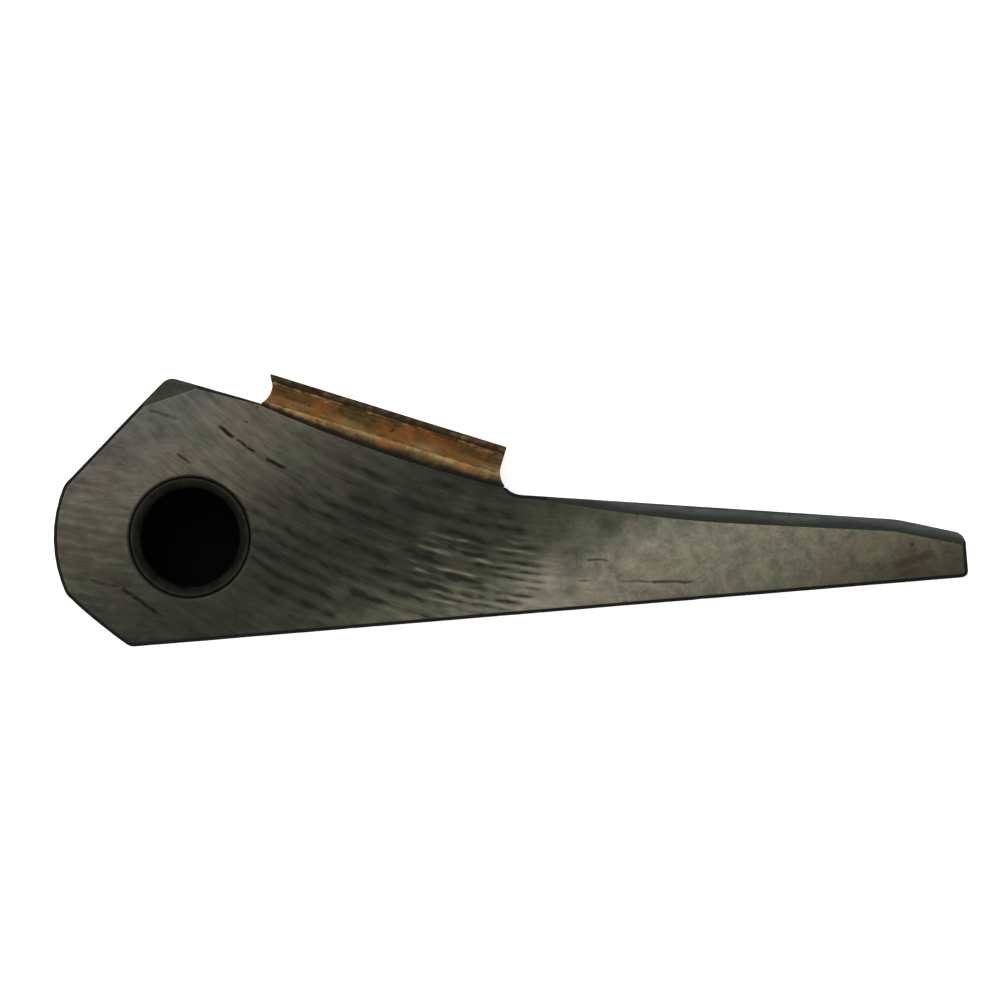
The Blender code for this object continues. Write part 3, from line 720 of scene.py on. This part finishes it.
# rub pad: cast bronze, its rubbing face worn bright
padUp = Vector(next(m["axis"] for m in frame["record"]["mounts"] if m["name"] == "pad_face")).normalized()
padAlong = padUp.cross(zAxis)
padTurn = math.degrees(math.atan2(padUp.x, padUp.y))
pad = {
    "weld": 0.15 * mm,
    "edgeRadius": 0.2 * mm,
    "cells": (0.55 * mm, 0.55 * mm, 0.8 * mm),
    "skin": 0.05 * mm,
    "skinSize": 1.3 * mm,
    "swell": 0.03 * mm,                   # the sides dip by up to twice this
    "swellSize": 6 * mm,
    "nick": 0.7 * mm,
    "nickSize": 2.6 * mm,
    "nickAbove": 0.4,
    "worn": (0.7, 0.95),                  # from a side's slope to the rubbing face's
    "wornSkin": 0.8,                      # how far the rubbing face is worn smooth, as a share
    "wornNicks": 0.7,
    "seatSlope": -0.8,                    # what points down more than this lies on the seat
    "beddedSlope": -0.5,                  # and what points down more than this beds in with it
    "bedding": 0.36 * mm,                 # closes the fit gap, with no light between pad and seat
    "seatShadeFrom": 0.25 * mm,               # painted shade along the joint with the seat
    "seatShadeTo": 1.1 * mm,
    "seatShadeShift": 0.35 * mm,
}


def shapePad(look):
    shape = mergedCopy("rub_pad", look["weld"])
    face = max(v.co.dot(padUp) for v in shape.verts)
    for side in shape.faces:
        high = side.calc_center_median().dot(padUp) > face - 0.1 * mm
        side.material_index = 1 if high and side.normal.dot(padUp) > level else 0
    roundEdges(shape, look["edgeRadius"])
    cutIntoCells(shape, look["cells"])
    under = [v for v in shape.verts if v.normal.dot(padUp) < look["seatSlope"]]
    seat = kdtree.KDTree(len(under))
    for index, vert in enumerate(under):
        seat.insert(vert.co, index)
    seat.balance()
    # how near the seat a point lies, for the painted shade along the joint
    seatShade = shape.verts.layers.float.new("seatShade")
    for vert in shape.verts:
        far = seat.find(vert.co)[2] + look["seatShadeShift"] * noise.noise(vert.co / look["skinSize"])
        vert[seatShade] = 1 - softStep(far, look["seatShadeFrom"], look["seatShadeTo"])
    for vert in shape.verts:
        if vert.normal.dot(padUp) < look["beddedSlope"]:
            vert.co -= padUp * look["bedding"]
            continue
        worn = softStep(vert.normal.dot(padUp), *look["worn"])
        skin = noise.noise(vert.co / look["skinSize"]) * look["skin"] * (1 - look["wornSkin"] * worn)
        swell = (1 + noise.noise(vert.co / look["swellSize"])) * look["swell"]
        nick = max(0.0, noise.noise(vert.co / look["nickSize"] + Vector((3, 8, 2))) - look["nickAbove"])
        vert.co -= vert.normal * (skin + swell + nick * look["nick"] * (1 - look["wornNicks"] * worn))
    return shape, face


def bronzeMaterial(name, look, face):
    material, tree, shader = newMaterial(name)
    place = objectPlace(tree)
    noises = look["noises"]
    patches = noiseNode(tree, tilted(tree, place, padTurn, look["patchStretch"]), *noises["patches"])
    mottle = noiseNode(tree, place, *noises["mottle"])
    grain = noiseNode(tree, tilted(tree, place, padTurn, look["grainStretch"]), *noises["grain"])
    redness = noiseNode(tree, place, *noises["redness"])
    # painted light and shade by how far a point is below the rubbing face, over the bronze's own tone,
    # where the dark line stays straight
    below = calc(tree, "SUBTRACT", axisPart(tree, tilted(tree, place, padTurn), "Y"), face)
    free = spread(tree, below, *look["lineEnds"], look["lineShift"], 1.0)
    patchShift = calc(tree, "MULTIPLY", free, look["patchShift"])
    mottleShift = calc(tree, "MULTIPLY", free, look["mottleShift"])
    below = shifted(tree, below, patches, patchShift)
    below = shifted(tree, below, mottle, mottleShift)
    stops, low, high = rampTones(look)
    color = colorRamp(tree, spread(tree, below, low, high), stops)
    red = spread(tree, redness, *look["redRange"], 0.0, look["red"])
    color = mixColor(tree, red, color, look["redTone"])
    olive = spread(tree, redness, *look["oliveRange"], 0.0, look["olive"])
    color = mixColor(tree, olive, color, look["oliveTone"])
    light = lighten(tree, mottle, look["mottle"])
    light = calc(tree, "MULTIPLY", light, lighten(tree, grain, look["grain"]))
    color = mixColor(tree, 1.0, color, light, "MULTIPLY")
    pits = spread(tree, noiseNode(tree, place, *noises["pits"]), *look["pitRange"])
    pitted = calc(tree, "MULTIPLY", pits, spread(tree, redness, *look["pitPatches"]))
    color = mixColor(tree, calc(tree, "MULTIPLY", pitted, look["pitShare"]), color, look["pitTone"])
    # painted shade along the seat
    seatShade = calc(tree, "MULTIPLY", painted(tree, "seatShade"), look["seatShadeShare"])
    color = mixColor(tree, seatShade, color, look["seatShadeTone"])
    rough = spread(tree, mottle, noiseLow, noiseHigh, *look["rough"])
    bump = calc(tree, "SUBTRACT", calc(tree, "MULTIPLY_ADD", grain, look["bumpGrain"], mottle), pitted)
    connectFinish(tree, shader, look, color, rough, bump)
    return material


castBronze = {
    # painted light and shade across the cove and the flat: dark under the lip, bright bands where they face
    # the light
    "ramp": [(-8.8, (36, 28, 12)), (-7.9, (60, 47, 20)), (-7.2, (92, 76, 42)), (-6.1, (146, 122, 76)),
             (-5.3, (114, 90, 48)), (-4.2, (60, 44, 11)), (-3, (70, 52, 14)), (-2.1, (100, 74, 36)),
             (-1.4, (225, 185, 125)), (-0.8, (195, 160, 108)), (-0.45, (60, 48, 34)), (0, (34, 28, 20))],
    "gain": 0.9,
    "noises": {                           # scale, detail, roughness, distortion
        "patches": (190, 3, 0.55), "mottle": (420, 5, 0.65), "grain": (1500, 4, 0.65),
        "redness": (130, 3, 0.5), "pits": (900, 2, 0.5, 0.6),
    },
    "patchStretch": (0.5, 1, 1),
    "grainStretch": (0.25, 1, 1),
    "lineEnds": (-0.4 * mm, -2.5 * mm),
    "lineShift": 0.1,
    "patchShift": 2.2 * mm,
    "mottleShift": 1.6 * mm,
    "red": 0.5,
    "redRange": (0.48, 0.62),
    "redTone": tone(112, 62, 26),
    "olive": 0.45,
    "oliveRange": (0.46, 0.34),
    "oliveTone": tone(76, 64, 22),
    "mottle": 0.34,
    "grain": 0.2,
    "pitRange": (0.68, 0.76),
    "pitPatches": (0.46, 0.54),
    "pitShare": 0.75,
    "pitTone": tone(24, 18, 9),
    "seatShadeShare": 0.95,
    "seatShadeTone": tone(11, 8, 3),
    "rough": (0.42, 0.62),
    "metallic": 0.72,
    "specular": 0.3,
    "bump": 0.7,
    "bumpGrain": 0.4,
    "bumpDistance": 0.15 * mm,
}
rubbedBronze = dict(castBronze, ramp=[(-8.8, (128, 96, 56)), (0, (132, 100, 60))], red=0.25, olive=0.2,
                    mottle=0.16, grain=0.3, rough=(0.28, 0.45), bump=0.45)

padShape, padFace = shapePad(pad)
padPaint = [bronzeMaterial("bronzeCast", castBronze, padFace),
            bronzeMaterial("bronzeRubbed", rubbedBronze, padFace)]
finishPiece(padShape, "rub_pad_worn", padPaint, "rub_pad")


# pivot bush and the fasteners: turned pieces
def turnedShape(profile, steps):
    # profile of (radius, height) points, spun about the z axis; a first or last radius of 0 closes the end
    shape = bmesh.new()
    verts = [shape.verts.new((radius, 0, height)) for radius, height in profile]
    edges = [shape.edges.new(pair) for pair in zip(verts, verts[1:])]
    if profile[0][0] > 0:
        edges.append(shape.edges.new((verts[-1], verts[0])))
    bmesh.ops.spin(shape, geom=[*verts, *edges], cent=(0, 0, 0), axis=zAxis, angle=2 * math.pi,
                   steps=steps, use_merge=True)
    bmesh.ops.remove_doubles(shape, verts=shape.verts[:], dist=1e-7)
    bmesh.ops.recalc_face_normals(shape, faces=shape.faces[:])
    shape.normal_update()
    return shape


bush = {
    "wall": 2.0 * mm,
    "leadIn": 1.5 * mm,                   # the bore's bevel at each end
    "outerBreak": 0.1 * mm,
    "outerFit": 0.12 * mm,                # fills the lever's bore, so that no gap shows
    "edgeRadius": 0.1 * mm,
    "roundAbove": 28,                     # degrees
    "steps": 128,
    "groove": 0.06 * mm,                  # turning marks in the bore
    "grooveHalf": 0.3 * mm,
    "grooves": 12,
}


def shapeBush(look):
    low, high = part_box("pivot_bush")
    middle = (low + high) / 2
    outer = (high.x - low.x) / 2 + look["outerFit"]
    inner = outer - look["outerFit"] - look["wall"]
    half = (high.z - low.z) / 2
    lead = look["leadIn"]
    rim = outer - look["outerBreak"]
    profile = [(inner, -half + lead), (inner + lead, -half), (rim, -half),
               (outer, -half + look["outerBreak"]), (outer, half - look["outerBreak"]),
               (rim, half), (inner + lead, half), (inner, half - lead)]
    run = 2 * (half - lead)
    for step in range(1, look["grooves"]):
        height = half - lead - run * step / look["grooves"]
        profile += [(inner, height + look["grooveHalf"]), (inner + look["groove"], height),
                    (inner, height - look["grooveHalf"])]
    shape = turnedShape(profile, look["steps"])
    roundEdges(shape, look["edgeRadius"], look["roundAbove"])
    bmesh.ops.translate(shape, verts=shape.verts[:], vec=middle)
    return shape, middle


def turnedSteelMaterial(name, look, middle, axis):
    # fine rings round an axis through the middle
    material, tree, shader = newMaterial(name)
    place = objectPlace(tree)
    away = addNode(tree, "VectorMath", {0: place, 1: tuple(middle)}, operation="SUBTRACT").outputs["Vector"]
    rise = addNode(tree, "VectorMath", {0: away, 1: tuple(axis)}, operation="DOT_PRODUCT").outputs["Value"]
    lift = addNode(tree, "VectorMath", {0: tuple(axis), "Scale": rise}, operation="SCALE").outputs["Vector"]
    flat = addNode(tree, "VectorMath", {0: away, 1: lift}, operation="SUBTRACT").outputs["Vector"]
    out = addNode(tree, "VectorMath", {0: flat}, operation="LENGTH").outputs["Value"]
    mottle = noiseNode(tree, place, *look["noises"]["mottle"])
    rings = addNode(tree, "CombineXYZ", {"X": calc(tree, "MULTIPLY", out, look["ringScale"]),
                                         "Y": calc(tree, "MULTIPLY", rise, look["ringScale"]),
                                         "Z": calc(tree, "MULTIPLY", mottle, look["ringWaver"])})
    lines = noiseNode(tree, rings.outputs["Vector"], *look["noises"]["lines"])
    color = mixColor(tree, spread(tree, mottle, *look["darkRange"]), look["dark"], look["light"])
    color = mixColor(tree, 1.0, color, lighten(tree, lines, look["ringLight"]), "MULTIPLY")
    rough = spread(tree, mottle, noiseLow, noiseHigh, *look["rough"])
    connectFinish(tree, shader, look, color, rough, lines)
    return material


bushSteel = {
    "noises": {"mottle": (300, 5, 0.6), "lines": (1.0, 3, 0.6)},
    "dark": tone(12, 14, 8),
    "light": tone(30, 32, 22),
    "darkRange": (0.35, 0.65),
    "ringScale": 4000.0,
    "ringWaver": 0.6,
    "ringLight": 0.25,
    "rough": (0.45, 0.65),
    "metallic": 0.85,
    "specular": 0.5,
    "bump": 0.5,
    "bumpDistance": 0.05 * mm,
}
screwSteel = dict(bushSteel, dark=tone(34, 33, 30), light=tone(78, 76, 70), ringScale=5000.0,
                  rough=(0.35, 0.6))

bushShape, pivot = shapeBush(bush)
finishPiece(bushShape, "pivot_bush_turned", [turnedSteelMaterial("steelBush", bushSteel, pivot, zAxis)],
            "pivot_bush")

screw = {
    "headDiameter": 11.4 * mm,
    "rim": 0.4 * mm,
    "rimBreak": 0.12 * mm,
    "edgeRadius": 0.05 * mm,
    "roundAbove": 30,
    "diameter": 6 * mm,
    "length": 20 * mm,
    "point": 0.8 * mm,
    "socketFlats": 4 * mm,
    "socketDepth": 2.2 * mm,
    "socketLead": 0.25 * mm,
    "socketCone": 0.5 * mm,               # the drill's point at the bottom of the socket
    "steps": 96,
}


def topCentre(node):
    # middle of a fastener across its axis, at its highest point along the axis
    places = [v.co for v in frame["nodes"][node].data.vertices]
    centre = padUp * max(p.dot(padUp) for p in places)
    for side in (padAlong, zAxis):
        reach = [p.dot(side) for p in places]
        centre = centre + side * (min(reach) + max(reach)) / 2
    return centre


def shapeScrew(look, centre):
    socket = look["socketFlats"] / 2
    head, shank, rim = look["headDiameter"] / 2, look["diameter"] / 2, look["rim"]
    neck = rim + head - shank
    cut, deep, lead = look["rimBreak"], look["socketDepth"], look["socketLead"]
    profile = [(0, -deep - look["socketCone"]), (socket, -deep), (socket, -lead), (socket + lead, 0),
               (head - cut, 0), (head, -cut), (head, -rim), (shank, -neck),
               (shank, -look["length"] + look["point"]), (shank - look["point"], -look["length"]),
               (0, -look["length"])]
    shape = turnedShape(profile, look["steps"])
    for vert in shape.verts:
        radius = math.hypot(vert.co.x, vert.co.y)
        if socket * 0.9 < radius < socket + lead * 1.1 and vert.co.z > -deep - cut:
            # the rings of the socket are pushed out on to a hexagon
            turn = math.atan2(vert.co.y, vert.co.x) % math.radians(60) - math.radians(30)
            vert.co.x /= math.cos(turn)
            vert.co.y /= math.cos(turn)
    roundEdges(shape, look["edgeRadius"], look["roundAbove"])
    stand = Matrix((padAlong, -zAxis, padUp)).transposed().to_4x4()
    bmesh.ops.transform(shape, matrix=Matrix.Translation(centre) @ stand, verts=shape.verts[:])
    bmesh.ops.recalc_face_normals(shape, faces=shape.faces[:])
    return shape


for end in ("head", "tail"):
    node = "pad_screw_" + end + "_end"
    place = topCentre(node)
    steel = turnedSteelMaterial("steelScrew_" + end, screwSteel, place, padUp)
    finishPiece(shapeScrew(screw, place), node + "_socket", [steel], node)
    dowel = frame["nodes"]["pad_dowel_" + end + "_end"]
    dowelSteel = turnedSteelMaterial("steelDowel_" + end, screwSteel, topCentre(dowel.name), padUp)
    dowel.data.materials[0] = dowelSteel
print("fasteners placed")
